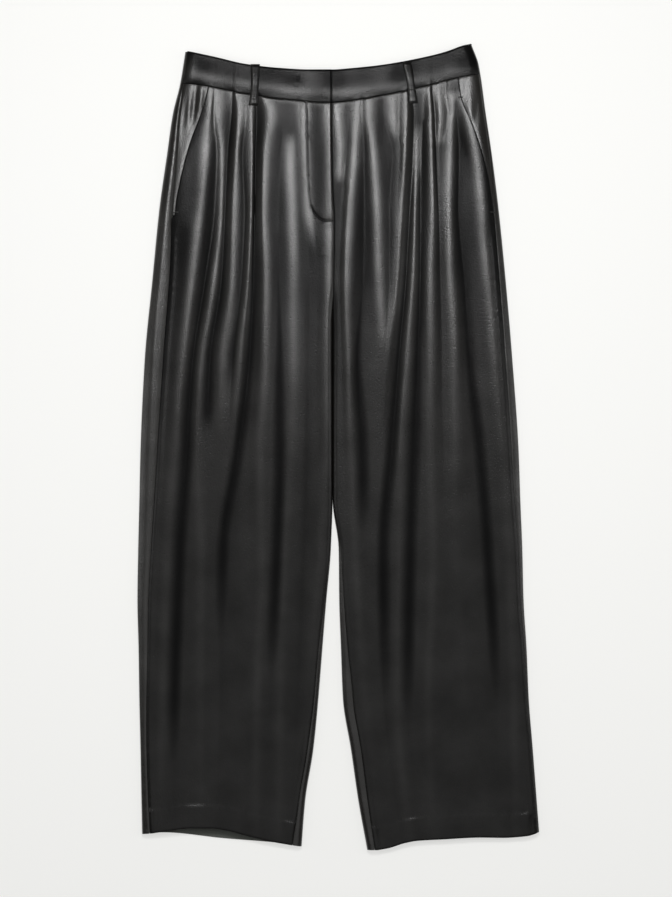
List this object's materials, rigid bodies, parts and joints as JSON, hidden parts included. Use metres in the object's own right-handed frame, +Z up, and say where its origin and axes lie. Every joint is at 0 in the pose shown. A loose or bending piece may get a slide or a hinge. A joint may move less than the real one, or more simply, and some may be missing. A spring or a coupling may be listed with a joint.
{
  "type": "leather trousers",
  "caption": "High-waisted pleated leather trousers with wide legs, slanted pockets and a closed waistband, laid flat with the front up.",
  "frame": {"origin": "middle of the underside of the trousers, on the surface they lie on", "axes": "+Z up from the surface through the front, +Y from the hems to the waist, +X to the wearer's left"},
  "size_m": [0.521, 1.0461, 0.0181],
  "materials": {
    "leather": "smooth, soft satin",
    "waistband_leather": "smooth, soft satin",
    "thread": "matt twisted thread",
    "cloth_backing": "matt knit backing"
  },
  "bodies": {
    "root": {"front_right": "leather", "front_left": "leather", "back_right": "leather", "back_left": "leather", "pocket_facing_right": "leather", "pocket_facing_left": "leather", "waistband_front_right": "waistband_leather", "waistband_front_left": "waistband_leather", "waistband_back": "waistband_leather", "belt_loop_front_right": "waistband_leather", "belt_loop_front_left": "waistband_leather", "belt_loop_back_right": "waistband_leather", "belt_loop_back_centre": "waistband_leather", "belt_loop_back_left": "waistband_leather"}
  },
  "joints": []
}
